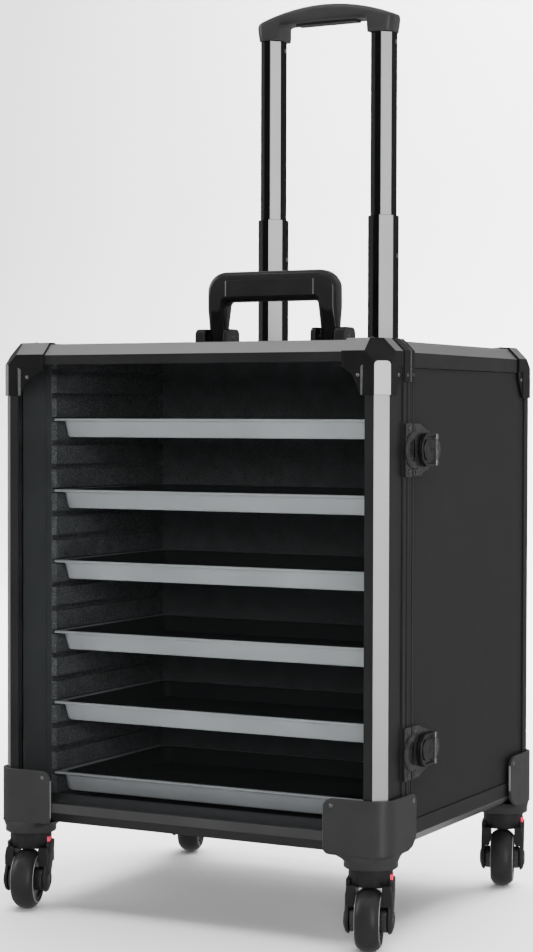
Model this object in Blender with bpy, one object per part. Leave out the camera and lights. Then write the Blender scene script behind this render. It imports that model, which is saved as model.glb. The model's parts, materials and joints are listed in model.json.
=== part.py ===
"""Rolling display case for tabletop miniatures: framed box, windowed door, trays, trolley, casters.

Lengths below are millimetres in the case's own frame: x right, y back, z up from the case's
underside. place() turns them into metres above the floor.
"""
import math

import bmesh
import bpy
import numpy as np
from mathutils import Matrix, Vector

MM = 0.001
W, D, H = 406.0, 356.0, 457.0
GROUND = 85.5
SHIFT_X = -1.55
SHIFT_Y = 8.02
GAP = 0.3
CHAMFER = 10.5
DOOR_DEPTH = 52.0
PARTING = -D / 2 + DOOR_DEPTH
RIDGE = 1.2
PANEL_T = 3.0
PANEL_SINK = 1.5
RAIL_W = 24.0
LIP = 30.0
RAIL_T = 7.0
RING_BORE = 17.5
WINDOW_T = 4.4

TRAY_COUNT = 6
TRAY_PITCH = 69.6
TRAY_RIM = 38.4
TRAY_DEEP = 18.2
SLOT_PITCH = TRAY_PITCH / 3
LINER_IN = 180.0
LINER_OUT = 195.5
LINER_FRONT = PARTING + 9.6
LINER_BACK = 88.0

TUBE_X, TUBE_Y = 63.5, 118.0
LOWER_W, LOWER_D, LOWER_CUT = 28.6, 36.0, 11.0
UPPER_W, UPPER_D, UPPER_CUT = 24.0, 30.0, 8.5
LOWER_TOP, LOWER_END = 594.0, 158.0
UPPER_TOP, UPPER_END = 780.0, 520.0
GRIP_RISE = 33.0

HANDLE_PIVOT = 467.5
HANDLE_TOP = 532.5
HANDLE_OUT, HANDLE_IN = 71.5, 52.0
HANDLE_UNDER = 502.5

LATCH_Z = {"upper": 359.0, "lower": 86.5}
LATCH_Y = -99.0

WHEEL_D, WHEEL_W = 57.0, 22.0
CASTER_X, CASTER_Y = 182.0, 158.0
CASTER_TRAIL = 13.0
HUB_HALF = 17.0
LEG_T = 4.0
WING_FOOT = 3.0
CASTER_TURN = math.radians(19.0)
CUP_LOW = -12.0
CROWN_LOW = -28.0
AXLE_Z = WHEEL_D / 2 - GROUND

HINGE_X = -(W / 2 + RIDGE + 3.2)


def place(x, y, z):
    return Vector(((x + SHIFT_X) * MM, (y + SHIFT_Y) * MM, (z + GROUND) * MM))


for old in list(bpy.data.objects):
    bpy.data.objects.remove(old, do_unlink=True)


def material(name, colour, roughness, metallic=0.0, alpha=1.0):
    made = bpy.data.materials.new(name)
    made.use_nodes = True
    shader = made.node_tree.nodes["Principled BSDF"]
    shader.inputs["Base Color"].default_value = (*colour, 1.0)
    shader.inputs["Roughness"].default_value = roughness
    shader.inputs["Metallic"].default_value = metallic
    shader.inputs["Alpha"].default_value = alpha
    made.diffuse_color = (*colour, alpha)
    return made


LOOKS = {
    "panel": ((0.040, 0.040, 0.042), 0.55, 0.0),
    "frame": ((0.022, 0.022, 0.023), 0.42, 0.6),
    "cap": ((0.075, 0.075, 0.078), 0.40, 0.5),
    "foam": ((0.030, 0.030, 0.032), 0.95, 0.0),
    "tray": ((0.160, 0.160, 0.165), 0.60, 0.3),
    "window": ((0.900, 0.920, 0.930), 0.04, 0.0, 0.2),
    "gloss": ((0.012, 0.012, 0.013), 0.16, 0.0),
    "tube": ((0.300, 0.300, 0.310), 0.30, 0.9),
    "latch": ((0.090, 0.090, 0.095), 0.32, 0.8),
    "plastic": ((0.025, 0.025, 0.026), 0.45, 0.0),
    "rubber": ((0.018, 0.018, 0.019), 0.60, 0.0),
    "steel": ((0.500, 0.500, 0.510), 0.28, 1.0),
}


def finish(name, bm, look, origin=(0.0, 0.0, 0.0)):
    """Turns a bmesh in case millimetres into an object with its origin at the given point."""
    bmesh.ops.recalc_face_normals(bm, faces=bm.faces)
    at = place(*origin)
    for vert in bm.verts:
        vert.co = place(*vert.co) - at
    mesh = bpy.data.meshes.new(name)
    bm.to_mesh(mesh)
    bm.free()
    mesh.materials.append(material(name, *LOOKS[look]))
    piece = bpy.data.objects.new(name, mesh)
    piece.location = at
    bpy.context.scene.collection.objects.link(piece)
    mesh.shade_smooth()
    mesh.set_sharp_from_angle(angle=math.radians(32))
    return piece


def combine(piece, tool, operation="UNION"):
    """Joins a tool to a piece, or cuts it, and leaves the result as the piece's own mesh."""
    modifier = piece.modifiers.new(operation.lower(), "BOOLEAN")
    modifier.operation = operation
    modifier.solver = "EXACT"
    modifier.object = tool
    bpy.context.view_layer.update()
    graph = bpy.context.evaluated_depsgraph_get()
    mesh = bpy.data.meshes.new_from_object(piece.evaluated_get(graph))
    piece.modifiers.clear()
    piece.data = mesh
    bpy.data.objects.remove(tool, do_unlink=True)
    mesh.set_sharp_from_angle(angle=math.radians(32))
    return piece


def bridge(bm, loops, closed=False):
    """Skins a row of vertex loops of equal count; a loop of one vertex makes a fan."""
    pairs = list(zip(loops, loops[1:]))
    if closed:
        pairs.append((loops[-1], loops[0]))
    for low, high in pairs:
        count = max(len(low), len(high))
        for i in range(count):
            j = (i + 1) % count
            corners = [low[i % len(low)], low[j % len(low)], high[j % len(high)], high[i % len(high)]]
            bm.faces.new(list(dict.fromkeys(corners)))


def lift(axis, u, v, along):
    """Puts a flat point (u, v) at a height along one axis."""
    return {"x": (along, u, v), "y": (u, along, v), "z": (u, v, along)}[axis]


def prism(outline, axis, start, end):
    bm = bmesh.new()
    loops = [[bm.verts.new(lift(axis, u, v, at)) for u, v in outline] for at in (start, end)]
    bridge(bm, loops)
    bm.faces.new(loops[0])
    bm.faces.new(loops[1])
    return bm


def cuboid(low, high):
    return prism([(low[0], low[1]), (high[0], low[1]), (high[0], high[1]), (low[0], high[1])],
                 "z", low[2], high[2])


def arc(cx, cy, radius, start, end, steps):
    """Points on a circle between two angles in degrees, both ends kept."""
    turns = [math.radians(start + (end - start) * i / steps) for i in range(steps + 1)]
    return [(cx + radius * math.cos(t), cy + radius * math.sin(t)) for t in turns]


def circle(cx, cy, radius, steps=24):
    return arc(cx, cy, radius, 0, 360, steps)[:-1]


def oblong(cx, cy, width, depth, cut):
    """A rectangle with its corners cut at 45 degrees, as eight points."""
    x, y = width / 2, depth / 2
    points = [(x, y - cut), (x - cut, y), (cut - x, y), (-x, y - cut),
              (-x, cut - y), (cut - x, -y), (x - cut, -y), (x, cut - y)]
    return [(cx + u, cy + v) for u, v in points]


def turned(profile, centre, axis="z", steps=24):
    """Spins (radius, height) points round an axis; a profile that starts off the axis closes on itself."""
    bm = bmesh.new()
    loops = []
    for radius, height in profile:
        flat = circle(0, 0, radius, steps) if radius > 0 else [(0.0, 0.0)]
        loops.append([bm.verts.new(Vector(lift(axis, u, v, height)) + Vector(centre)) for u, v in flat])
    bridge(bm, loops, closed=profile[0][0] > 0)
    return bm


def ring(section):
    """A frame round the case from (inset, y, corner cut) points taken round its section."""
    bm = bmesh.new()
    loops = []
    for inset, y, cut in section:
        flat = oblong(0, H / 2, W - 2 * inset, H - 2 * inset, cut)
        loops.append([bm.verts.new((x, y, z)) for x, z in flat])
    bridge(bm, loops, closed=True)
    return bm


def sleeve(cx, cy, levels):
    """A straight tube of eight sides from (width, depth, cut, z) points taken round its wall."""
    bm = bmesh.new()
    loops = []
    for width, depth, cut, z in levels:
        loops.append([bm.verts.new((x, y, z)) for x, y in oblong(cx, cy, width, depth, cut)])
    bridge(bm, loops, closed=True)
    return bm


# --- body frame ---
FRONT = -D / 2
finish("body_front_ring", ring([
    (-RIDGE, PARTING + 0.1, CHAMFER), (-RIDGE, PARTING + 8.0, CHAMFER), (0, PARTING + 9.0, CHAMFER),
    (RING_BORE, PARTING + 9.0, 0.5), (RING_BORE, PARTING + 0.1, 0.5)]), "frame")

BACK = D / 2
finish("body_rear_ring", ring([
    (0, BACK - 2 * CHAMFER, CHAMFER), (0, BACK - CHAMFER, 2 * CHAMFER), (CHAMFER, BACK, CHAMFER),
    (RAIL_W, BACK, 0.5), (RAIL_W, BACK - 4.8, 0.5), (LIP, BACK - 4.8, 0.5), (LIP, BACK - RAIL_T, 0.5),
    (16.0, BACK - RAIL_T, 6.0), (16.0, BACK - 2 * CHAMFER, 6.0)]), "frame")

RAIL_FROM = PARTING + 9.0 + GAP
RAIL_TO = BACK - 2 * CHAMFER - GAP
rail_section = [(0, CHAMFER), (CHAMFER, 0), (RAIL_W, 0), (RAIL_W, 4.8), (LIP, 4.8), (LIP, RAIL_T),
                (RAIL_T, RAIL_T), (RAIL_T, LIP), (4.8, LIP), (4.8, RAIL_W), (0, RAIL_W)]
for side, sx in (("left", -1), ("right", 1)):
    for level, base, sz in (("bottom", 0.0, 1), ("top", H, -1)):
        outline = [(sx * (W / 2 - u), base + sz * v) for u, v in rail_section]
        finish(f"rail_{level}_{side}", prism(outline, "y", RAIL_FROM, RAIL_TO), "frame")

# --- panels, sunk a little below the rails ---
PANEL_EDGE = RAIL_W + GAP
for side, sx in (("left", -1), ("right", 1)):
    outer = sx * (W / 2 - PANEL_SINK)
    inner = outer - sx * PANEL_T
    finish(f"body_{side}_panel", cuboid((min(outer, inner), RAIL_FROM, PANEL_EDGE),
                                        (max(outer, inner), RAIL_TO, H - PANEL_EDGE)), "panel")
panel_x = W / 2 - PANEL_EDGE
finish("body_rear_panel", cuboid((-panel_x, BACK - PANEL_SINK - PANEL_T, PANEL_EDGE),
                                 (panel_x, BACK - PANEL_SINK, H - PANEL_EDGE)), "panel")
finish("body_bottom_panel", cuboid((-panel_x, RAIL_FROM, PANEL_SINK),
                                   (panel_x, RAIL_TO, PANEL_SINK + PANEL_T)), "panel")
top_panel = finish("body_top_panel", cuboid((-panel_x, RAIL_FROM, H - PANEL_SINK - PANEL_T),
                                            (panel_x, RAIL_TO, H - PANEL_SINK)), "panel")
for sx in (-1, 1):
    hole = prism(oblong(sx * TUBE_X, TUBE_Y, LOWER_W + 7.2, LOWER_D + 7.2, 12.6), "z", H - 20, H + 20)
    combine(top_panel, finish("hole", hole, "panel"), "DIFFERENCE")

# --- slotted foam side liners and the back sheet ---
liner_low = RAIL_T + 0.4
liner_high = H - RAIL_T - 0.4
slot_depth = 5.4
slot_rims = [TRAY_RIM + SLOT_PITCH * m for m in range(-1, 18)]
for side, sx in (("left", -1), ("right", 1)):
    outline = [(LINER_OUT, liner_low), (LINER_IN, liner_low)]
    for rim in slot_rims:
        outline += [(LINER_IN, rim - 3.8), (LINER_IN + slot_depth, rim - 3.8),
                    (LINER_IN + slot_depth, rim + 1.6), (LINER_IN, rim + 1.6)]
    outline += [(LINER_IN, liner_high), (LINER_OUT, liner_high)]
    finish(f"liner_{side}", prism([(sx * u, v) for u, v in outline], "y", LINER_FRONT, LINER_BACK - GAP),
           "foam")
finish("liner_back", cuboid((-LINER_OUT, LINER_BACK, liner_low), (LINER_OUT, LINER_BACK + 6, liner_high)),
       "foam")


# --- sliding trays: a sloped pan with a flat flange all round ---
def tray(rim):
    bm = bmesh.new()
    front = LINER_FRONT + 0.6
    back = LINER_BACK - 1.2
    edge = LINER_IN + slot_depth - 0.5
    levels = [(171.0, 7.0, rim - TRAY_DEEP + 1.6), (174.8, 4.2, rim), (edge, 0.0, rim),
              (edge, 0.0, rim - 3.5), (177.0, 2.0, rim - 3.5), (173.0, 4.8, rim - TRAY_DEEP)]
    loops = []
    for half, setback, z in levels:
        corners = [(-half, front + setback), (half, front + setback),
                   (half, back - setback), (-half, back - setback)]
        loops.append([bm.verts.new((x, y, z)) for x, y in corners])
    bridge(bm, loops)
    bm.faces.new(loops[0])
    bm.faces.new(loops[-1])
    return bm


for number in range(TRAY_COUNT):
    finish(f"tray_{number + 1}", tray(TRAY_RIM + TRAY_PITCH * number), "tray",
           (0, LINER_FRONT, TRAY_RIM + TRAY_PITCH * number))

# --- door: chamfered frame with the window in a groove ---
GROOVE_BACK = FRONT + 12.0
GROOVE_FRONT = GROOVE_BACK - WINDOW_T - 2 * GAP
door_origin = (HINGE_X, PARTING, 0.0)
finish("door_frame", ring([
    (0, FRONT + CHAMFER, 2 * CHAMFER), (CHAMFER, FRONT, CHAMFER), (19.5, FRONT, 0.5),
    (19.5, GROOVE_FRONT, 0.5), (11.5, GROOVE_FRONT, 8.0), (11.5, GROOVE_BACK, 8.0),
    (RING_BORE, GROOVE_BACK, 0.5), (RING_BORE, PARTING - 0.2, 0.5), (-RIDGE, PARTING - 0.2, CHAMFER),
    (-RIDGE, PARTING - 14.5, CHAMFER), (1.0, PARTING - 15.2, CHAMFER), (0, PARTING - 16.4, CHAMFER),
    (0, FRONT + 2 * CHAMFER, CHAMFER)]), "frame", door_origin)
pane = 11.5 + GAP
finish("door_window", prism(oblong(0, H / 2, W - 2 * pane, H - 2 * pane, 8.0), "y",
                            GROOVE_FRONT + GAP, GROOVE_BACK - GAP), "window", door_origin)


# --- corner caps: thin shells over a corner where three chamfers meet ---
def corner_cap(sx, sy, across, inward, side_foot):
    """A shell from GAP outside the case's faces; across and inward are its arms' lengths."""
    c = CHAMFER
    far = 1.85 * c
    top_edge = c + 9.0
    foot = c + 13.0
    corner = {
        "f1": (-far, 0, -c), "f2": (-c, 0, -far), "s1": (0, -c, -far), "s2": (0, -far, -c),
        "t1": (-far, -c, 0), "t2": (-c, -far, 0),
        "a0": (-across, -c, 0), "a1": (-across, 0, -c), "a2": (-across, 0, -CAP_DROP),
        "g1": (-0.76 * across, 0, -CAP_DROP - 6.2), "g2": (-foot - 4.0, 0, -CAP_DROP - 15.0),
        "b0": (0, -c, -CAP_DOWN), "b1": (-c, 0, -CAP_DOWN), "b2": (-foot, 0, -CAP_DOWN),
        "b3": (0, -side_foot, -CAP_DOWN),
        "c0": (-c, -inward, 0), "c1": (0, -inward, -c), "c2": (0, -inward, -CAP_DROP - 4.5),
        "e0": (-across, -top_edge, 0), "e1": (-top_edge, -inward, 0),
    }
    faces = ["f1 f2 s1 s2 t2 t1", "a1 f1 t1 a0", "f2 b1 b0 s1", "s2 c1 c0 t2",
             "a1 a2 g1 g2 b2 b1 f2 f1", "s1 b0 b3 c2 c1 s2", "t1 t2 c0 e1 e0 a0"]
    normals = [(1, 1, 1), (0, 1, 1), (1, 1, 0), (1, 0, 1), (0, 1, 0), (1, 0, 0), (0, 0, 1)]
    names = [face.split() for face in faces]
    bm = bmesh.new()
    skins = []
    for offset in (GAP + 1.5, GAP):
        skin = {}
        for key, point in corner.items():
            rows = [np.array(n) / np.linalg.norm(n) for n, face in zip(normals, names) if key in face]
            move = np.linalg.lstsq(np.array(rows), np.full(len(rows), offset), rcond=None)[0]
            a, b, c_up = np.array(point) + move
            skin[key] = bm.verts.new((sx * (W / 2 + a), sy * (D / 2 + b), H + c_up))
        for face in names:
            bm.faces.new([skin[key] for key in face])
        skins.append(skin)
    rim = ["a0", "a1", "a2", "g1", "g2", "b2", "b1", "b0", "b3", "c2", "c1", "c0", "e1", "e0"]
    for key, after in zip(rim, rim[1:] + rim[:1]):
        bm.faces.new([skins[0][key], skins[0][after], skins[1][after], skins[1][key]])
    return bm


CAP_DROP, CAP_DOWN = 24.5, 49.0
for side, sx, across in (("left", -1, 49.5), ("right", 1, 41.5)):
    finish(f"cap_front_{side}", corner_cap(sx, -1, across, 35.5, 23.0), "cap", door_origin)
    finish(f"cap_rear_{side}", corner_cap(sx, 1, 44.0, 40.0, 29.0), "cap")

# --- door hinge: two leaves with knuckles on a pin ---
KNUCKLES = 7
hinge_low, hinge_high = 66.0, 426.0
knuckle = (hinge_high - hinge_low) / KNUCKLES
for owner, sy, first in (("body", 1, 0), ("door", -1, 1)):
    near = PARTING + sy * 3.4
    far = PARTING + sy * (14.0 if sy < 0 else 8.0)
    leaf = finish(f"hinge_{owner}_leaf",
                  cuboid((-206.2, min(near, far), hinge_low), (-204.6, max(near, far), hinge_high)),
                  "latch", door_origin if owner == "door" else (0, 0, 0))
    for index in range(first, KNUCKLES, 2):
        low = hinge_low + knuckle * index + 0.25
        high = low + knuckle - 0.5
        tail = cuboid((-206.2, min(PARTING + sy * 1.9, near + sy), low),
                      (-204.9, max(PARTING + sy * 1.9, near + sy), high))
        combine(leaf, finish("tail", tail, "latch"))
        barrel = turned([(1.4, low), (2.6, low), (2.6, high), (1.4, high)], (HINGE_X, PARTING, 0), "z", 12)
        combine(leaf, finish("barrel", barrel, "latch"))
finish("hinge_pin", turned([(0, hinge_low - 1.6), (2.2, hinge_low - 1.6), (2.2, hinge_low - 0.2),
                            (1.1, hinge_low - 0.2), (1.1, hinge_high + 0.2), (2.2, hinge_high + 0.2),
                            (2.2, hinge_high + 1.6), (0, hinge_high + 1.6)], (HINGE_X, PARTING, 0), "z", 12),
       "steel")

# --- latches: a base on the body, a keeper on the door, a wing that turns about x ---
plate_in = W / 2 + RIDGE + 0.4
plate_out = plate_in + 2.4
for level, z in LATCH_Z.items():
    base = [(PARTING + 2.2, z - 24), (PARTING + 17, z - 24), (PARTING + 40, z - 15), (PARTING + 46, z - 8),
            (PARTING + 46, z + 8), (PARTING + 40, z + 15), (PARTING + 17, z + 24), (PARTING + 2.2, z + 24)]
    finish(f"latch_{level}_base", prism(base, "x", plate_in, plate_out), "latch")
    keeper = [(PARTING - 14.5, z - 24), (PARTING - 0.6, z - 24), (PARTING - 0.6, z + 24),
              (PARTING - 14.5, z + 24)]
    catch = finish(f"latch_{level}_keeper", prism(keeper, "x", plate_in, plate_out), "latch", door_origin)
    bowl = prism(arc(PARTING - 0.8, z, 16.0, 90, 270, 14), "x", plate_out - 0.4, plate_out + 2.6)
    combine(catch, finish("bowl", bowl, "latch"))
    wing_in = plate_out + GAP
    outline = ([(LATCH_Y + 16, z - 15), (LATCH_Y + 16, z + 15)]
               + arc(LATCH_Y - 2, z, 16.0, 110, 250, 10))
    wing = finish(f"latch_{level}_wing", prism(outline, "x", wing_in, wing_in + 4.2), "latch",
                  (plate_out, LATCH_Y, z))
    bar = prism(circle(LATCH_Y + 16, wing_in + 3.2, 2.6, 12), "z", z - 13, z + 13)
    for vert in bar.verts:
        vert.co = (vert.co.y, vert.co.x, vert.co.z)
    combine(wing, finish("bar", bar, "latch"))
    tongue = [(LATCH_Y + 14, z - 11)] + arc(LATCH_Y + 17, z, 11.0, -90, 90, 10) + [(LATCH_Y + 14, z + 11)]
    combine(wing, finish("tongue", prism(tongue, "x", wing_in + 1.0, wing_in + 3.0), "latch"))

# --- carry handle: an arched grip on two clevis brackets ---
ARCH_LOW, INNER_R, OUTER_R = 476.0, 6.0, 20.0
inner_x, inner_z = HANDLE_IN - INNER_R, HANDLE_UNDER - INNER_R
outer_x, outer_z = HANDLE_OUT - OUTER_R, HANDLE_TOP - OUTER_R
arch = ([(-HANDLE_IN, ARCH_LOW)] + arc(-inner_x, inner_z, INNER_R, 180, 90, 4)
        + arc(inner_x, inner_z, INNER_R, 90, 0, 4) + [(HANDLE_IN, ARCH_LOW), (HANDLE_OUT, ARCH_LOW)]
        + arc(outer_x, outer_z, OUTER_R, 0, 90, 6) + arc(-outer_x, outer_z, OUTER_R, 90, 180, 6)
        + [(-HANDLE_OUT, ARCH_LOW)])
handle = finish("carry_handle", prism(arch, "y", -12, 12), "gloss", (0, 0, HANDLE_PIVOT))
for sx in (-1, 1):
    foot = arc(0, HANDLE_PIVOT, 6.2, 180, 360, 8) + [(6.2, 479), (-6.2, 479)]
    low, high = sorted((sx * (HANDLE_IN + 0.5), sx * (HANDLE_OUT - 0.5)))
    combine(handle, finish("foot", prism(foot, "x", low, high), "gloss"))
for side, sx in (("left", -1), ("right", 1)):
    seat = H - PANEL_SINK + GAP
    clevis = [(46, seat), (83, seat), (83, 470), (79, 475.5), (HANDLE_OUT + 0.6, 475.5),
              (HANDLE_OUT + 0.6, 457.6), (HANDLE_IN - 0.6, 457.6), (HANDLE_IN - 0.6, 471), (46, 471)]
    finish(f"handle_bracket_{side}", prism([(sx * u, v) for u, v in clevis], "y", -15, 15), "plastic")

# --- trolley: fixed channels, lower tubes with a foot bridge, upper tubes with the grip ---
for side, sx in (("left", -1), ("right", 1)):
    x = sx * TUBE_X
    finish(f"trolley_channel_{side}", sleeve(x, TUBE_Y, [
        (LOWER_W + 1, LOWER_D + 1, 11.3, H + 3.4), (LOWER_W + 17, LOWER_D + 17, 14.0, H + 2.6),
        (LOWER_W + 17, LOWER_D + 17, 14.0, H - PANEL_SINK + GAP),
        (LOWER_W + 6, LOWER_D + 6, 12.4, H - PANEL_SINK + GAP), (LOWER_W + 6, LOWER_D + 6, 12.4, 330.0),
        (LOWER_W + 1, LOWER_D + 1, 11.3, 330.0)]), "plastic")
    finish(f"trolley_lower_tube_{side}", sleeve(x, TUBE_Y, [
        (UPPER_W + 1, UPPER_D + 1, 8.8, LOWER_TOP), (LOWER_W, LOWER_D, LOWER_CUT, LOWER_TOP),
        (LOWER_W, LOWER_D, LOWER_CUT, LOWER_END), (UPPER_W + 1, UPPER_D + 1, 8.8, LOWER_END)]),
           "tube", (x, TUBE_Y, LOWER_TOP))
    finish(f"trolley_upper_tube_{side}", prism(oblong(x, TUBE_Y, UPPER_W, UPPER_D, UPPER_CUT), "z",
                                               UPPER_END, UPPER_TOP - GAP),
           "tube", (x, TUBE_Y, UPPER_TOP))
finish("trolley_bridge", cuboid((-80, TUBE_Y - 18, LOWER_END - 12), (80, TUBE_Y + 18, LOWER_END - GAP)),
       "plastic", (0, TUBE_Y, LOWER_END))

grip_low = UPPER_TOP
grip_line = [(-76, grip_low), (-51, grip_low), (-51, grip_low + 10), (-46, grip_low + 15),
             (46, grip_low + 15), (51, grip_low + 10), (51, grip_low), (76, grip_low)]
GRIP_END, GRIP_SHOULDER = 78.5, 17.5
for i in range(17):
    across = 1 - i / 8
    grip_line.append((GRIP_END * across,
                      grip_low + GRIP_SHOULDER + (GRIP_RISE - GRIP_SHOULDER) * (1 - across ** 2)))
grip = finish("trolley_grip", prism(grip_line, "y", TUBE_Y - 15.5, TUBE_Y + 15.5), "plastic",
              (0, TUBE_Y, UPPER_TOP))
pocket = cuboid((-34.4, TUBE_Y - 7.4, grip_low), (34.4, TUBE_Y + 7.4, grip_low + 26.0))
combine(grip, finish("pocket", pocket, "plastic"), "DIFFERENCE")
finish("trolley_release", cuboid((-34, TUBE_Y - 7, grip_low + 13.5), (34, TUBE_Y + 7, grip_low + 21.5)),
       "plastic", (0, TUBE_Y, grip_low))


# --- casters: corner bracket with a cup, swivel fork with its axle, wheel ---
def caster(tag, sx, sy, wing, side_wing, owner_origin):
    x_in, y_in = W / 2 + RIDGE + 0.6, D / 2 + 0.5
    x_out, y_out = x_in + 3.0, y_in + 3.0
    end_x = W / 2 - wing
    end_y = D / 2 - side_wing
    radius = 20.0
    bend = arc(x_out - radius, y_out - radius, radius, 90, 0, 8)
    name = f"caster_{tag}"
    cx, cy = sx * CASTER_X, sy * CASTER_Y
    near_x, near_y = CASTER_X - 22.0, CASTER_Y - 22.0

    def shell(from_x, from_y, low, high):
        """The corner's upright skin between two heights, as far as from_x and from_y."""
        outline = ([(from_x, y_in), (from_x, y_out)] + bend
                   + [(x_out, from_y), (x_in, from_y), (x_in, y_in - 12), (x_in - 12, y_in)])
        return prism([(sx * u, sy * v) for u, v in outline], "z", low, high)

    bracket = finish(f"{name}_bracket", shell(end_x, end_y, WING_FOOT, 50.0), "plastic", owner_origin)
    plate = [(near_x, near_y), (near_x, y_out)] + bend + [(x_out, near_y)]
    plate_line = [(sx * u, sy * v) for u, v in plate]
    combine(bracket, finish("plate", prism(plate_line, "z", -5.0, -1.8), "plastic"))
    combine(bracket, finish("apron", shell(near_x, near_y, -3.4, WING_FOOT + 2), "plastic"))
    cup = [(0, -4.4), (6.0, -4.4), (6.0, CUP_LOW), (24.5, CUP_LOW), (24.5, -3.0), (0, -3.0)]
    combine(bracket, finish("cup", turned(cup, (cx, cy, 0)), "plastic"))

    top = CUP_LOW - 0.4
    crown = [(0, -5.6), (5.6, -5.6), (5.6, top), (20.0, top), (20.0, CROWN_LOW), (0, CROWN_LOW)]
    fork = finish(f"{name}_fork", turned(crown, (cx, cy, 0)), "plastic", (cx, cy, top))
    turn = Matrix.Rotation(CASTER_TURN, 4, "Z")
    spot = Matrix.Translation((cx, cy, 0)) @ turn
    half = HUB_HALF + 0.4
    for s in (-1, 1):
        leg_foot = arc(-CASTER_TRAIL, AXLE_Z, 13.0, 170, 350, 10)
        leg = [(13.0, CROWN_LOW + 2), (-14.0, CROWN_LOW + 2)] + leg_foot
        bm = prism(leg, "x", *sorted((s * half, s * (half + LEG_T))))
        bmesh.ops.transform(bm, matrix=spot, verts=bm.verts)
        combine(fork, finish("leg", bm, "plastic"))
    end = half + LEG_T + 1.2
    axle = turned([(0, -end), (8.0, -end), (8.0, 2 - end), (3.0, 2 - end),
                   (3.0, end - 2), (8.0, end - 2), (8.0, end), (0, end)],
                  (0, -CASTER_TRAIL, AXLE_Z), "x", 16)
    bmesh.ops.transform(axle, matrix=spot, verts=axle.verts)
    combine(fork, finish("axle", axle, "plastic"))

    r, w = WHEEL_D / 2, WHEEL_W / 2
    tread = [(3.4, -HUB_HALF), (11.0, -HUB_HALF), (11.0, -w), (r - 5.5, -w), (r - 3.0, 1.2 - w),
             (r - 0.7, 5.0 - w), (r, 0)]
    tread += [(radius_at, -along) for radius_at, along in reversed(tread[:-1])]
    wheel = turned(tread, (0, -CASTER_TRAIL, AXLE_Z), "x", 28)
    bmesh.ops.transform(wheel, matrix=spot, verts=wheel.verts)
    centre = spot @ Vector((0, -CASTER_TRAIL, AXLE_Z))
    finish(f"{name}_wheel", wheel, "rubber", tuple(centre))


caster("front_right", 1, -1, 58, 62, door_origin)
caster("front_left", -1, -1, 58, 50.5, door_origin)
caster("rear_right", 1, 1, 58, 64, (0, 0, 0))
caster("rear_left", -1, 1, 58, 64, (0, 0, 0))
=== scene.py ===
"""Looks of the rolling miniature case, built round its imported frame."""

import json
import math

import bmesh
import bpy
import numpy as np
from mathutils import Matrix, Vector


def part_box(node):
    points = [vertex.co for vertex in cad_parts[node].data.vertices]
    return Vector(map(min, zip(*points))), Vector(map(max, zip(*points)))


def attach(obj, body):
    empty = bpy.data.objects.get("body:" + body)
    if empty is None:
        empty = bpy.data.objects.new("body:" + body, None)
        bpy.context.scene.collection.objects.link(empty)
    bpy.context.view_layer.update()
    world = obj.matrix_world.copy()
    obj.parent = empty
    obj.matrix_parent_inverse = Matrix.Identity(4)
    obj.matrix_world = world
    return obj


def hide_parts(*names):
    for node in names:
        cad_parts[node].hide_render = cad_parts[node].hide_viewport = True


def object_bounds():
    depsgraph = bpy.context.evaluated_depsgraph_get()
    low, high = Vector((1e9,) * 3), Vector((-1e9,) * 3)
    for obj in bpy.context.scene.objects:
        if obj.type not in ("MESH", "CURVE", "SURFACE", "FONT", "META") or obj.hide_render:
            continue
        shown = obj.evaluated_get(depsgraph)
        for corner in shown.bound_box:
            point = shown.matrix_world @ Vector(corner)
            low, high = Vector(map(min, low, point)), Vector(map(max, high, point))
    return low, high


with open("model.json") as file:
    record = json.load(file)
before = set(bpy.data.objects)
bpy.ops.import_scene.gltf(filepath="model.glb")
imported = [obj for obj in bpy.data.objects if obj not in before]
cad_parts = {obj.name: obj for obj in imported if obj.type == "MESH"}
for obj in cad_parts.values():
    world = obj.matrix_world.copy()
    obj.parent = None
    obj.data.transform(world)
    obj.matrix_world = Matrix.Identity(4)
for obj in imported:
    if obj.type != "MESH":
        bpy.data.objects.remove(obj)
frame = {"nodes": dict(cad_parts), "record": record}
cad_low, cad_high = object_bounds()

MM = 0.001
ring_low, ring_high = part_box("body_rear_ring")
W = (ring_high[0] - ring_low[0]) / MM
H = (ring_high[2] - ring_low[2]) / MM
FRONT_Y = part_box("door_frame")[0][1]
D = (ring_high[1] - FRONT_Y) / MM
ORIGIN = Vector(((ring_low[0] + ring_high[0]) / 2, (ring_high[1] + FRONT_Y) / 2, ring_low[2]))


def case_box(node):
    """A node's box in the case's own millimetres: x right, y back, z up from its underside."""
    low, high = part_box(node)
    return (Vector(low) - ORIGIN) / MM, (Vector(high) - ORIGIN) / MM


# ---------------------------------------------------------------- materials
def new_material(name):
    made = bpy.data.materials.new(name)
    made.use_nodes = True
    tree = made.node_tree
    return made, tree.nodes, tree.links, tree.nodes["Principled BSDF"]


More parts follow.
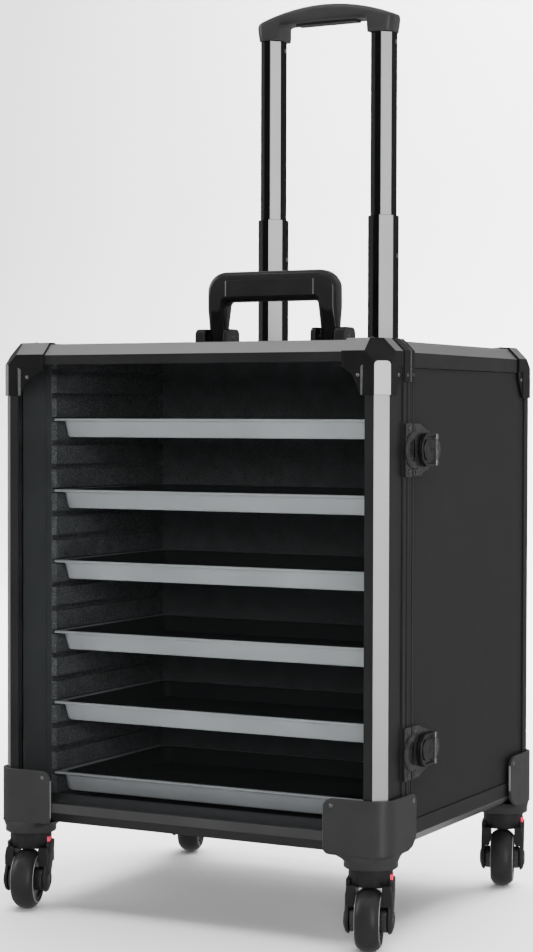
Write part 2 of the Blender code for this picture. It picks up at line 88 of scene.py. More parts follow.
def look(name, colour, rough, metallic=0.0, specular=0.5, tint=0.12, rough_span=0.08, patch=18.0,
         grain=900.0, bump=0.25, depth=0.00008, stretch=(1, 1, 1), speck=0.0, speck_scale=1400.0,
         coat=0.0, coat_rough=0.1):
    """A surface with broad tonal drift, uneven roughness and a fine grain, in the piece's own space."""
    made, nodes, links, shader = new_material(name)
    place = nodes.new("ShaderNodeTexCoord")
    mapping = nodes.new("ShaderNodeMapping")
    mapping.inputs["Scale"].default_value = stretch
    links.new(place.outputs["Object"], mapping.inputs["Vector"])

    broad = nodes.new("ShaderNodeTexNoise")
    broad.inputs["Scale"].default_value = patch
    broad.inputs["Detail"].default_value = 5.0
    links.new(place.outputs["Object"], broad.inputs["Vector"])
    fine = nodes.new("ShaderNodeTexNoise")
    fine.inputs["Scale"].default_value = grain
    fine.inputs["Detail"].default_value = 3.0
    links.new(mapping.outputs["Vector"], fine.inputs["Vector"])

    ramp = nodes.new("ShaderNodeValToRGB")
    low = [c * (1 - tint) for c in colour]
    high = [min(1.0, c * (1 + tint)) for c in colour]
    ramp.color_ramp.elements[0].position = 0.3
    ramp.color_ramp.elements[1].position = 0.7
    ramp.color_ramp.elements[0].color = (*low, 1)
    ramp.color_ramp.elements[1].color = (*high, 1)
    links.new(broad.outputs["Fac"], ramp.inputs["Fac"])
    colour_out = ramp.outputs["Color"]
    if speck:
        dots = nodes.new("ShaderNodeTexNoise")
        dots.inputs["Scale"].default_value = speck_scale
        dots.inputs["Detail"].default_value = 1.0
        links.new(place.outputs["Object"], dots.inputs["Vector"])
        pick = nodes.new("ShaderNodeMapRange")
        pick.inputs["From Min"].default_value = 0.52
        pick.inputs["From Max"].default_value = 0.68
        pick.inputs["To Max"].default_value = speck
        links.new(dots.outputs["Fac"], pick.inputs["Value"])
        mix = nodes.new("ShaderNodeMix")
        mix.data_type = "RGBA"
        mix.inputs["B"].default_value = (*[min(1.0, c * 4 + 0.04) for c in colour], 1)
        links.new(pick.outputs["Result"], mix.inputs["Factor"])
        links.new(colour_out, mix.inputs["A"])
        colour_out = mix.outputs["Result"]
    links.new(colour_out, shader.inputs["Base Color"])

    worn = nodes.new("ShaderNodeMapRange")
    worn.inputs["From Min"].default_value = 0.25
    worn.inputs["From Max"].default_value = 0.75
    worn.inputs["To Min"].default_value = max(0.02, rough - rough_span)
    worn.inputs["To Max"].default_value = min(1.0, rough + rough_span)
    links.new(broad.outputs["Fac"], worn.inputs["Value"])
    links.new(worn.outputs["Result"], shader.inputs["Roughness"])

    relief = nodes.new("ShaderNodeBump")
    relief.inputs["Strength"].default_value = bump
    relief.inputs["Distance"].default_value = depth
    links.new(fine.outputs["Fac"], relief.inputs["Height"])
    links.new(relief.outputs["Normal"], shader.inputs["Normal"])

    shader.inputs["Metallic"].default_value = metallic
    shader.inputs["Specular IOR Level"].default_value = specular
    shader.inputs["Coat Weight"].default_value = coat
    shader.inputs["Coat Roughness"].default_value = coat_rough
    return made


def clear_sheet(name):
    """Polished acrylic: passes light, mirrors a little more at a slant, faint dust in its gloss."""
    made, nodes, links, shader = new_material(name)
    nodes.remove(shader)
    out = nodes["Material Output"]
    place = nodes.new("ShaderNodeTexCoord")
    dust = nodes.new("ShaderNodeTexNoise")
    dust.inputs["Scale"].default_value = 35.0
    dust.inputs["Detail"].default_value = 6.0
    links.new(place.outputs["Object"], dust.inputs["Vector"])
    haze = nodes.new("ShaderNodeMapRange")
    haze.inputs["To Min"].default_value = 0.025
    haze.inputs["To Max"].default_value = 0.040
    links.new(dust.outputs["Fac"], haze.inputs["Value"])
    gloss = nodes.new("ShaderNodeBsdfGlossy")
    gloss.inputs["Color"].default_value = (0.95, 0.97, 1.0, 1)
    links.new(haze.outputs["Result"], gloss.inputs["Roughness"])
    through = nodes.new("ShaderNodeBsdfTransparent")
    through.inputs["Color"].default_value = (0.93, 0.945, 0.95, 1)
    angle = nodes.new("ShaderNodeFresnel")
    angle.inputs["IOR"].default_value = 1.18
    mix = nodes.new("ShaderNodeMixShader")
    links.new(angle.outputs["Fac"], mix.inputs["Fac"])
    links.new(through.outputs["BSDF"], mix.inputs[1])
    links.new(gloss.outputs["BSDF"], mix.inputs[2])
    links.new(mix.outputs["Shader"], out.inputs["Surface"])
    return made


PANEL = look("panel_laminate", (0.0125, 0.0125, 0.0128), 0.55, specular=0.3, tint=0.10, patch=7,
             grain=2600, bump=0.35, depth=0.00006)
FRAME = look("black_anodised", (0.0098, 0.0098, 0.0101), 0.40, specular=0.4, tint=0.2, patch=14, grain=1500,
             bump=0.12, depth=0.00004, stretch=(1, 1, 0.04))
SILVER = look("silver_edge", (0.56, 0.56, 0.565), 0.33, metallic=0.97, tint=0.07, rough_span=0.06, patch=9,
              grain=2400, bump=0.22, depth=0.00004, stretch=(1, 1, 0.02))
SILVER_LONG = look("silver_edge_long", (0.56, 0.56, 0.565), 0.33, metallic=0.97, tint=0.07, rough_span=0.06,
                   patch=9, grain=2400, bump=0.22, depth=0.00004, stretch=(0.02, 1, 1))
CAP = look("cap_metal", (0.005, 0.005, 0.0052), 0.38, specular=0.28, tint=0.2, patch=40, grain=1800, bump=0.2,
           depth=0.00005)
FOAM = look("slotted_foam", (0.058, 0.058, 0.0585), 0.95, specular=0.2, tint=0.25, patch=60, grain=1600,
            bump=0.8, depth=0.0004, speck=0.75, speck_scale=1500)
TRAY = look("tray_grey", (0.34, 0.34, 0.343), 0.45, specular=0.4, tint=0.10, patch=12, grain=2400,
            bump=0.45, depth=0.00006)
PAN = look("tray_inside", (0.014, 0.014, 0.0143), 0.5, specular=0.4, tint=0.15, patch=12, grain=2400,
           bump=0.45, depth=0.00006)
# Painted light: a lighter copy of the black frame, for the front face along the bottom.
BAND_LIT = look("front_band_painted_light", (0.031, 0.031, 0.0315), 0.45, specular=0.4, tint=0.15, patch=14, grain=1500,
            bump=0.12, depth=0.00004, stretch=(0.04, 1, 1))
# Painted light: the frames' inner sides are the same black frame, coloured far lighter to stand in for light
# from the front.
FRAME_SIDE_LIT = look("frame_side_painted_light", (0.074, 0.074, 0.0745), 0.55, specular=0.35, tint=0.12, patch=14, grain=1500,
              bump=0.15, depth=0.00004)
WINDOW = clear_sheet("clear_acrylic")
GLOSS = look("polished_black", (0.0065, 0.0065, 0.0067), 0.13, specular=0.5, tint=0.2, rough_span=0.04,
             patch=30, grain=500, bump=0.04, depth=0.00004, coat=0.4, coat_rough=0.06)
INLAY = look("inlay_black", (0.011, 0.011, 0.0113), 0.38, specular=0.4, tint=0.2, patch=40, grain=2400,
             bump=0.35, depth=0.00006)
GRIP = look("grip_black", (0.021, 0.021, 0.0214), 0.34, specular=0.75, tint=0.2, patch=40, grain=2400,
            bump=0.35, depth=0.00006)
BRACKET = look("bracket_black", (0.016, 0.016, 0.0164), 0.40, specular=0.9, tint=0.15, patch=45, grain=2400,
               bump=0.30, depth=0.00006)
# Painted highlight: light grey metal on thin ends, strips and rings that stand for bright edge lines.
EDGE_HIGHLIGHT = look("painted_highlight_edge", (0.30, 0.30, 0.305), 0.38, metallic=0.5, tint=0.12, patch=60, grain=2400, bump=0.2,
            depth=0.00004)
BRIGHT = look("cap_strip", (0.68, 0.68, 0.685), 0.30, metallic=0.97, tint=0.06, rough_span=0.05, patch=9,
              grain=2400, bump=0.22, depth=0.00004, stretch=(1, 1, 0.02))
PLASTIC = look("moulded_black", (0.010, 0.010, 0.0103), 0.40, specular=0.5, tint=0.18, patch=45, grain=2400,
               bump=0.30, depth=0.00006)
TUBE_BLACK = look("tube_black", (0.002, 0.002, 0.0021), 0.25, specular=0.15, tint=0.2, patch=20, grain=1500,
                  bump=0.10, depth=0.00003, stretch=(1, 1, 0.03))
TUBE_SILVER = look("tube_silver", (0.54, 0.54, 0.545), 0.30, metallic=0.97, tint=0.07, rough_span=0.05,
                   patch=9, grain=2400, bump=0.24, depth=0.00004, stretch=(1, 1, 0.02))
LATCH = look("latch_metal", (0.11, 0.11, 0.113), 0.20, metallic=1.0, tint=0.3, rough_span=0.08, patch=90,
             grain=1500, bump=0.2, depth=0.00004)
TONGUE = look("latch_tongue", (0.030, 0.030, 0.031), 0.40, specular=0.4, tint=0.2, patch=60, grain=1500,
              bump=0.2, depth=0.00004)
LATCH_DARK = look("latch_black", (0.012, 0.012, 0.0123), 0.22, specular=0.9, tint=0.2, patch=60, grain=1200,
                  bump=0.1, depth=0.00003)
STEEL = look("zinc_steel", (0.42, 0.42, 0.43), 0.28, metallic=1.0, tint=0.12, rough_span=0.1, patch=200,
             grain=3000, bump=0.2, depth=0.00003)
SCREW = look("blackened_screw", (0.10, 0.10, 0.105), 0.24, metallic=0.8, tint=0.3, rough_span=0.1, patch=200,
             grain=3000, bump=0.2, depth=0.00003)
RUBBER = look("tyre_rubber", (0.013, 0.013, 0.0134), 0.36, specular=0.5, tint=0.2, patch=60, grain=1800,
              bump=0.4, depth=0.00006)
HUB = look("wheel_core", (0.110, 0.110, 0.112), 0.28, metallic=0.9, specular=0.5, tint=0.2, patch=60,
           grain=2000, bump=0.3, depth=0.00005)
RED = look("red_marker", (0.80, 0.035, 0.10), 0.4, tint=0.08, patch=120, grain=2400, bump=0.3, depth=0.00005)


# ---------------------------------------------------------------- building
def piece(name, bm, looks, body, replaces=(), bevel=0.0, steps=2, smooth=40.0, place=None):
    """A mesh in case millimetres becomes a piece that rides on a body of the frame."""
    if place is not None:
        bmesh.ops.transform(bm, matrix=place, verts=bm.verts)
    bmesh.ops.recalc_face_normals(bm, faces=bm.faces)
    for vert in bm.verts:
        vert.co = ORIGIN + vert.co * MM
    mesh = bpy.data.meshes.new(name)
    bm.to_mesh(mesh)
    bm.free()
    for each in looks:
        mesh.materials.append(each)
    made = bpy.data.objects.new(name, mesh)
    bpy.context.scene.collection.objects.link(made)
    mesh.shade_smooth()
    if bevel:
        round_edges(made, bevel, steps)
    else:
        mesh.set_sharp_from_angle(angle=math.radians(smooth))
    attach(made, body)
    if replaces:
        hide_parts(*replaces)
    return made


def round_edges(made, width, steps):
    """Rounds a piece's sharp edges by a width in millimetres."""
    modifier = made.modifiers.new("round", "BEVEL")
    modifier.width = width * MM
    modifier.segments = steps
    modifier.limit_method = "ANGLE"
    modifier.angle_limit = math.radians(28)
    modifier.use_clamp_overlap = True
    modifier.harden_normals = True
    modifier.miter_outer = "MITER_ARC"


def keep(node, surface, bevel=0.0, steps=2):
    """A node of the frame stays as it is, with its surface and rounded edges."""
    made = frame["nodes"][node]
    made.data.materials.clear()
    made.data.materials.append(surface)
    if bevel:
        made.data.shade_smooth()
        round_edges(made, bevel, steps)


def bridge(bm, loops, closed=False, marks=None):
    """Joins each loop of vertices to the next; marks give each band's material, or each face's."""
    pairs = list(zip(loops, loops[1:]))
    if closed:
        pairs.append((loops[-1], loops[0]))
    for row, (low, high) in enumerate(pairs):
        count = max(len(low), len(high))
        for i in range(count):
            j = (i + 1) % count
            ends = [low[i % len(low)], low[j % len(low)], high[j % len(high)], high[i % len(high)]]
            face = bm.faces.new(list(dict.fromkeys(ends)))
            if marks:
                face.material_index = marks[row][i] if isinstance(marks[row], (list, tuple)) else marks[row]


def lift(axis, u, v, along):
    """A point of a flat outline, carried along one axis."""
    return {"x": (along, u, v), "y": (u, along, v), "z": (u, v, along)}[axis]


def prism(outline, axis, start, end, bm=None, marks=None):
    """An outline drawn out along an axis; marks give its side faces' materials."""
    bm = bm or bmesh.new()
    loops = [[bm.verts.new(lift(axis, u, v, at)) for u, v in outline] for at in (start, end)]
    bridge(bm, loops, marks=[marks] if marks else None)
    for loop in loops:
        bm.faces.new(loop)
    return bm


def cuboid(low, high):
    corners = [(low[0], low[1]), (high[0], low[1]), (high[0], high[1]), (low[0], high[1])]
    return prism(corners, "z", low[2], high[2])


def arc(cx, cy, radius, start, end, steps):
    """Points on an arc, its ends given in degrees."""
    turns = [math.radians(start + (end - start) * i / steps) for i in range(steps + 1)]
    return [(cx + radius * math.cos(t), cy + radius * math.sin(t)) for t in turns]


def circle(cx, cy, radius, steps):
    return arc(cx, cy, radius, 0, 360, steps)[:-1]


def soft_box(cx, cy, width, depth, radius, steps=5):
    """A rectangle with round corners."""
    x, y = width / 2 - radius, depth / 2 - radius
    points = []
    for sx, sy, turn in ((1, 1, 0), (-1, 1, 90), (-1, -1, 180), (1, -1, 270)):
        points += arc(cx + sx * x, cy + sy * y, radius, turn, turn + 90, steps)
    return points


def oblong(cx, cy, width, depth, cut):
    """A rectangle with cut corners."""
    x, y = width / 2, depth / 2
    points = [(x, y - cut), (x - cut, y), (cut - x, y), (-x, y - cut),
              (-x, cut - y), (cut - x, -y), (x - cut, -y), (x, cut - y)]
    return [(cx + u, cy + v) for u, v in points]


def turned(profile, centre, axis="z", steps=40, bm=None):
    """A profile of (radius, height) turned round an axis."""
    bm = bm or bmesh.new()
    loops = []
    for radius, height in profile:
        flat = circle(0, 0, radius, steps) if radius > 0 else [(0.0, 0.0)]
        loops.append([bm.verts.new(Vector(lift(axis, u, v, height)) + Vector(centre)) for u, v in flat])
    bridge(bm, loops, closed=profile[0][0] > 0)
    return bm


def ring(section, marks):
    """A closed frame: each point of the section is (inset, y, corner cut)."""
    bm = bmesh.new()
    loops = []
    for inset, y, cut in section:
        flat = oblong(0, H / 2, W - 2 * inset, H - 2 * inset, cut)
        loops.append([bm.verts.new((x, y, z)) for x, z in flat])
    bridge(bm, loops, closed=True, marks=marks)
    return bm


def stack(loops_at, bm=None, marks=None, end=0):
    """Skins flat outlines of equal count laid one above another, and closes both ends."""
    bm = bm or bmesh.new()
    loops = [[bm.verts.new(point) for point in loop] for loop in loops_at]
    bridge(bm, loops, marks=marks)
    bm.faces.new(loops[0]).material_index = end
    bm.faces.new(loops[-1]).material_index = end
    return bm


def flip_x(bm, sx):
    """Mirrors a shape in x when sx is -1."""
    for vert in bm.verts:
        vert.co.x *= sx


def turn_to(direction, at):
    """A matrix that stands +z along a direction at a point."""
    return Matrix.Translation(Vector(at)) @ Vector(direction).to_track_quat("Z", "Y").to_matrix().to_4x4()


def screw_head(bm, at, direction, radius=2.6, height=1.1):
    """A pan head with a round recess in its top."""
    made = bmesh.new()
    turned([(0, height * 0.55), (radius * 0.22, height * 0.6), (radius * 0.26, height),
            (radius * 0.6, height * 0.92), (radius * 0.9, height * 0.6), (radius, 0.15), (radius, -0.4),
            (0, -0.4)], (0, 0, 0), "z", 20, made)
    place = turn_to(direction, at)
    copy = {}
    for vert in made.verts:
        copy[vert] = bm.verts.new(place @ vert.co)
    for face in made.faces:
        bm.faces.new([copy[v] for v in face.verts])
    made.free()


# ---------------------------------------------------------------- body and door frames
C = 10.5                                 # the slant's leg on every outer edge of the case
BORE = 17.5                              # the frames' inner edge, in from the case's sides
FRONT, BACK = -D / 2, D / 2
body_ring_low, body_ring_high = case_box("body_front_ring")
PARTING = body_ring_low[1] - 0.1
RIDGE = (body_ring_high[0] - body_ring_low[0] - W) / 2
GLASS_FRONT, GLASS_BACK, GLASS_EDGE = FRONT + 7.0, FRONT + 12.0, 11.5
LIP = 19.5

door_section = [
    (0, FRONT + C, 2 * C), (C, FRONT, C), (LIP, FRONT, 0.5), (LIP, GLASS_FRONT, 0.5),
    (GLASS_EDGE, GLASS_FRONT, 8.0), (GLASS_EDGE, GLASS_BACK, 8.0), (BORE, GLASS_BACK, 0.5),
    (BORE, PARTING - 0.2, 0.5), (-RIDGE, PARTING - 0.2, C), (-RIDGE, PARTING - 5.2, C),
    (0.2, PARTING - 5.9, C), (0.2, PARTING - 7.4, C), (-RIDGE, PARTING - 8.1, C), (-RIDGE, PARTING - 14.5, C),
    (1.2, PARTING - 15.2, C), (0, PARTING - 16.4, C), (0, FRONT + 2 * C, C)]
# The slants along the bottom stay black, painted shade: the same silver slant is coloured dark where it faces
# the shadowed floor.
SLANTS_SHADED_BELOW = [1, 2, 1, 1, 0, 0, 0, 1]        # silver on the slants, with its grain along the top edge
# Painted light: the front face along the bottom takes a lighter copy of the black frame's colour.
FRONT_BANDS_LIT = [0, 0, 0, 0, 0, 4, 0, 0]   # a lighter band along the bottom of the front
# Row 6, the door frame's inner side, takes the painted-light colour.
door_marks = [SLANTS_SHADED_BELOW, FRONT_BANDS_LIT] + [0] * 4 + [3] + [0] * 10
piece("door_frame_rails", ring(door_section, door_marks), [FRAME, SILVER, SILVER_LONG, FRAME_SIDE_LIT, BAND_LIT],
      "door", ["door_frame"], bevel=0.45)

front_ring = [(-RIDGE, PARTING + 0.1, C), (-RIDGE, PARTING + 3.4, C), (-0.2, PARTING + 3.8, C),
              (-0.2, PARTING + 4.8, C), (-RIDGE, PARTING + 5.2, C), (-RIDGE, PARTING + 8.0, C),
              (0, PARTING + 9.0, C), (BORE, PARTING + 9.0, 0.5), (BORE, PARTING + 0.1, 0.5)]
# The body ring's inner side takes the painted-light colour.
piece("body_front_rails", ring(front_ring, [0] * 7 + [1, 0]), [FRAME, FRAME_SIDE_LIT], "case",
      ["body_front_ring"], bevel=0.4)
rear_ring = [(0, BACK - 2 * C, C), (0, BACK - C, 2 * C), (C, BACK, C), (24.0, BACK, 0.5),
             (24.0, BACK - 4.8, 0.5), (30.0, BACK - 4.8, 0.5), (30.0, BACK - 7.0, 0.5),
             (16.0, BACK - 7.0, 6.0), (16.0, BACK - 2 * C, 6.0)]
piece("body_rear_rails", ring(rear_ring, [0, SLANTS_SHADED_BELOW] + [0] * 7), [FRAME, SILVER, SILVER_LONG], "case",
      ["body_rear_ring"], bevel=0.45)

rail_section = [(0, C), (C, 0), (24.0, 0), (24.0, 4.8), (30.0, 4.8), (30.0, 7.0), (7.0, 7.0), (7.0, 30.0),
                (4.8, 30.0), (4.8, 24.0), (0, 24.0)]
for side, sx in (("left", -1), ("right", 1)):
    for level, base, sz in (("bottom", 0.0, 1), ("top", H, -1)):
        node = f"rail_{level}_{side}"
        low, high = case_box(node)
        outline = [(sx * (W / 2 - u), base + sz * v) for u, v in rail_section]
        piece(f"{node}_bar", prism(outline, "y", low[1], high[1], marks=[1] + [0] * 10), [FRAME, SILVER],
              "case", [node], bevel=0.45)

for node in ("body_left_panel", "body_right_panel", "body_rear_panel", "body_top_panel",
             "body_bottom_panel"):
    keep(node, PANEL, 0.4)
for node in ("liner_left", "liner_right"):
    keep(node, FOAM, 0.7)
keep("liner_back", FOAM)
keep("door_window", WINDOW)
keep("hinge_body_leaf", LATCH)
keep("hinge_door_leaf", LATCH)
keep("hinge_pin", STEEL)


# ---------------------------------------------------------------- corner caps
CAP_STEP, CAP_DROP, CAP_DOWN = C + 12.0, 24.5, 49.0
BORDER_OUT, BACK_OUT, WEB_OUT = 1.75, 0.35, 0.85


def corner_cap(sx, sy, across, inward, side_foot):
    """A folded corner shell: an L-shaped border, and inside it a web one step lower."""
    c, step, drop, down = C, CAP_STEP, CAP_DROP, CAP_DOWN
    far, top_edge, foot = 1.85 * C, C + 9.0, C + 13.0
    corner = {
        "f1": (-far, 0, -c), "f2": (-c, 0, -far), "s1": (0, -c, -far), "s2": (0, -far, -c),
        "t1": (-far, -c, 0), "t2": (-c, -far, 0), "a0": (-across, -c, 0), "a1": (-across, 0, -c),
        "a2": (-across, 0, -step), "a3": (2.5 - foot, 0, -step), "b2": (2.5 - foot, 0, -down),
        "b1": (-c, 0, -down), "b0": (0, -c, -down), "b3": (0, -side_foot, -down),
        "c3": (0, -side_foot, -step), "c2": (0, -inward, -step), "c1": (0, -inward, -c),
        "c0": (-c, -inward, 0), "e0": (-across, -top_edge, 0), "e1": (-top_edge, -inward, 0),
        "a4": (-across, 0, -drop), "g1": (-0.76 * across, 0, -drop - 6.2),
        "g2": (-foot - 4.0, 0, -drop - 15.0), "b4": (-foot, 0, -down), "c4": (0, -inward, -drop - 4.5),
    }
    shared = ["f1 f2 s1 s2 t2 t1", "a1 f1 t1 a0", "f2 b1 b0 s1", "s2 c1 c0 t2"]
    normals = [(1, 1, 1), (0, 1, 1), (1, 1, 0), (1, 0, 1), (0, 1, 0), (1, 0, 0), (0, 0, 1)]
    outer = shared + ["a1 a2 a3 b2 b1 f2 f1", "s1 b0 b3 c3 c2 c1 s2", "t1 t2 c0 e1 e0 a0"]
    inner = shared + ["a1 a4 g1 g2 b4 b1 f2 f1", "s1 b0 b3 c4 c1 s2", "t1 t2 c0 e1 e0 a0"]
    bm = bmesh.new()

    def skin(names, offset):
        """The corner's points, each moved out so that all the faces round it stand off equally."""
        made = {}
        for key in sorted({key for face in names for key in face.split()}):
            rows = [np.array(n) / np.linalg.norm(n) for n, face in zip(normals, names) if key in face]
            move = np.linalg.lstsq(np.array(rows), np.full(len(rows), offset), rcond=None)[0]
            a, b, up = np.array(corner[key]) + move
            made[key] = bm.verts.new((sx * (W / 2 + a), sy * (D / 2 + b), H + up))
        return made

    border, back = skin(outer, BORDER_OUT), skin(inner, BACK_OUT)
    for names, verts in ((outer, border), (inner, back)):
        for index, face in enumerate(names):
            bm.faces.new([verts[key] for key in face.split()]).material_index = int(index in (1, 3))
    web = {}
    for keys, (da, db) in (("a2 a3 b2 a4 g1 g2 b4", (0, WEB_OUT)), ("c2 c3 b3 c4", (WEB_OUT, 0))):
        for key in keys.split():
            a, b, up = corner[key]
            a -= 2.2 * (key in ("a3", "b2"))
            up -= 1.2 * (key in ("a2", "a3", "c2", "c3"))
            web[key] = bm.verts.new((sx * (W / 2 + a + da), sy * (D / 2 + b + db), H + up))
    for keys in ("a2 a3 b2 b4 g2 g1 a4", "c2 c3 b3 c4"):
        bm.faces.new([web[key] for key in keys.split()])
    # The step wall down the border's inner edge (a3 to b2) takes bright steel, a painted highlight where the
    # side light catches it.
    for pair in ("a2 a3", "a3 b2", "c2 c3", "c3 b3"):
        key, after = pair.split()
        wall = bm.faces.new([border[key], border[after], web[after], web[key]])
        wall.material_index = 2 * (pair == "a3 b2")
    for pair in ("a4 g1", "g1 g2", "g2 b4", "b3 c4"):
        key, after = pair.split()
        bm.faces.new([web[key], web[after], back[after], back[key]])
    for pair in ("b1 b0", "c1 c0", "c0 e1", "e1 e0", "e0 a0", "a0 a1"):
        key, after = pair.split()
        bm.faces.new([border[key], border[after], back[after], back[key]])
    bm.faces.new([border["a1"], border["a2"], web["a2"], web["a4"], back["a4"], back["a1"]])
    bm.faces.new([web["b4"], web["b2"], border["b2"], border["b1"], back["b1"], back["b4"]])
    bm.faces.new([border["b0"], border["b3"], web["b3"], back["b3"], back["b0"]])
    bm.faces.new([web["c4"], web["c2"], border["c2"], border["c1"], back["c1"], back["c4"]])
    return bm


def cap_trims(node, body, sx, sy, across, side_foot):
    """A cap's bright strip down the slanted edge, its front lip and its screws."""
    side_x, end_y = W / 2, D / 2
    strip = ([(-7.9, H - CAP_DOWN), (7.9, H - CAP_DOWN)] + arc(3.9, H - 22.8, 4.0, 0, 90, 5)
             + arc(-3.9, H - 22.8, 4.0, 90, 180, 5))
    stand = (Matrix.Translation((sx * (side_x - C / 2), sy * (end_y - C / 2), 0))
             @ Matrix.Rotation(math.atan2(-sx, sy), 4, "Z"))
    piece(f"{node}_strip", prism(strip, "y", 1.4, 1.95), [BRIGHT], body, bevel=0.3, place=stand)
    lip = [(sx * (side_x - across + 2.2), sy * (end_y + 1.85)),
           (sx * (side_x - across - 0.2), sy * (end_y + 0.6)),
           (sx * (side_x - across + 2.2), sy * (end_y + 0.6))]
    piece(f"{node}_lip", prism(lip, "z", H - 23.6, H - 11.0), [FRAME], body, bevel=0.1)
    heads = bmesh.new()
    screw_head(heads, (sx * (side_x - 0.62 * across), sy * (end_y + WEB_OUT), H - 31.5), (0, sy, 0), 1.8)
    screw_head(heads, (sx * (side_x + WEB_OUT), sy * (end_y - side_foot - 4.0), H - 31.0), (sx, 0, 0), 2.0)
    screw_head(heads, (sx * (side_x - 24.0), sy * (end_y - 25), H + BORDER_OUT), (0, 0, 1), 2.2)
    piece(f"{node}_screws", heads, [STEEL], body)


for side, sx, reach in (("left", -1, 49.5), ("right", 1, 41.5)):
    for end, sy, body, inward, across, side_foot in (("front", -1, "door", 35.5, reach, 23.0),
                                                     ("rear", 1, "case", 40.0, 44.0, 29.0)):
        node = f"cap_{end}_{side}"
        piece(f"{node}_shell", corner_cap(sx, sy, across, inward, side_foot), [CAP, SILVER, STEEL], body,
              [node], bevel=0.35, steps=2)
        cap_trims(node, body, sx, sy, across, side_foot)


def corner_band(sx, inside, outside, low, y_from, y_to):
    """A strap round a top corner of the closed rings, from one height up over the slant to the top."""
    line = []
    for offset in (outside, inside):
        edge = RIDGE + offset
        run = [(W / 2 + edge, low), (W / 2 + edge, H + RIDGE - C + 0.41 * offset),
               (W / 2 + RIDGE - C + 0.41 * offset, H + edge), (W / 2 - 30.0, H + edge)]
        line += run if offset == outside else run[::-1]
    return prism([(sx * x, z) for x, z in line], "y", y_from, y_to)


for side, sx, low in (("left", -1, H - 28.0), ("right", 1, H - 37.0)):
    for owner, body, near, far, edge in (("door", "door", -14.0, -1.4, -1.3),
                                         ("body", "case", 1.3, 7.6, 0.4)):
        y_from, y_to, highlight_y = PARTING + near, PARTING + far, PARTING + edge
        piece(f"{owner}_corner_strap_{side}", corner_band(sx, -0.2, 0.8, low, y_from, y_to), [CAP], body,
              bevel=0.25)
        # A thin steel band at the parting, a painted highlight along the ridge's lit edge over the slant.
        piece(f"{owner}_corner_highlight_{side}", corner_band(sx, -0.2, 0.9, low, highlight_y, highlight_y + 0.8),
              [STEEL], body, bevel=0.15)
        rivet = bmesh.new()
        screw_head(rivet, (sx * (W / 2 + RIDGE + 0.8), (y_from + y_to) / 2, low + 6.0), (sx, 0, 0), 2.0, 0.8)
        piece(f"{owner}_corner_rivet_{side}", rivet, [SCREW], body)


# ---------------------------------------------------------------- trays
def tray_pan(number):
    """A shallow pan with a flat rim; a level is (half width, setback at the ends, height, radius)."""
    node = f"tray_{number}"
    low, high = case_box(node)
    base, rim = low[2], high[2]
    mid_y, long_y = (low[1] + high[1]) / 2, high[1] - low[1]
    levels = [(170.2, 7.8, base + 1.7, 7), (171.2, 6.8, base + 2.2, 8), (174.4, 4.8, rim - 0.6, 9),
              (175.4, 3.8, rim, 9), (184.5, 0.4, rim, 4), (184.9, 0.0, rim - 0.5, 4),
              (184.9, 0.0, rim - 2.2, 4), (184.5, 0.4, rim - 2.5, 4), (177.2, 3.0, rim - 2.7, 9),
              (176.6, 3.2, rim - 3.4, 9), (173.8, 4.8, base + 1.4, 9), (172.8, 5.6, base + 0.3, 9),
              (172.0, 6.4, base, 8)]
    loops = [[(x, y, z) for x, y in soft_box(0, mid_y, 2 * half, long_y - 2 * setback, radius)]
             for half, setback, z, radius in levels]
    piece(f"{node}_pan", stack(loops, marks=[1] * 3 + [0] * 9, end=1), [TRAY, PAN], node, [node],
          smooth=34)


for number in range(1, 7):
    tray_pan(number)

# ---------------------------------------------------------------- carry handle
handle_low, handle_high = case_box("carry_handle")
HANDLE_HALF = (handle_high[0] - handle_low[0]) / 2
HANDLE_TOP = handle_high[2]
PIVOT_Z = handle_low[2] + 6.2
BEND, INNER_BEND, GRIP_THICK, LEG_THICK = 20.0, 5.0, 30.0, 19.5
INLAY_Z = 515.7


def swept(sections):
    """Skins cross-sections given as (centre, in-plane axis, width, depth, radius); depth lies along y."""
    loops = []
    for centre, across, width, depth, radius in sections:
        flat = soft_box(0, 0, width, depth, radius, 4)
        loops.append([centre + across * u + Vector((0, 1, 0)) * v for u, v in flat])
    return stack(loops)


def handle_leg():
    """The left leg's cross-sections, from its pivot up and round the bend into the grip."""
    sections = []
    for z, width, depth in ((PIVOT_Z - 5.5, 17.5, 8.0), (PIVOT_Z - 3.0, 18.0, 11.0),
                            (PIVOT_Z + 8.0, 18.4, 13.0), (PIVOT_Z + 16.0, 18.8, 18.0),
                            (HANDLE_TOP - 37.0, 19.3, 23.0)):
        centre = Vector((-(HANDLE_HALF - width / 2 - 0.1), 0, z))
        sections.append((centre, Vector((1, 0, 0)), width, depth, min(width, depth) * 0.34))
    outer = Vector((-(HANDLE_HALF - BEND), 0, HANDLE_TOP - BEND))
    inner = Vector((-(HANDLE_HALF - LEG_THICK - INNER_BEND), 0, HANDLE_TOP - GRIP_THICK - INNER_BEND))
    for i in range(1, 10):
        t = math.radians(90 * i / 9)
        ray = Vector((-math.cos(t), 0, math.sin(t)))
        out_point, in_point = outer + ray * BEND, inner + ray * INNER_BEND
        across = in_point - out_point
        sections.append(((out_point + in_point) / 2, across.normalized(), across.length, 23.5, 7.0))
    return sections


def other_side(section):
    """A cross-section mirrored to the right."""
    centre, across, width, depth, radius = section
    flip = Vector((-1, 1, 1))
    return centre * flip, across * flip, width, depth, radius


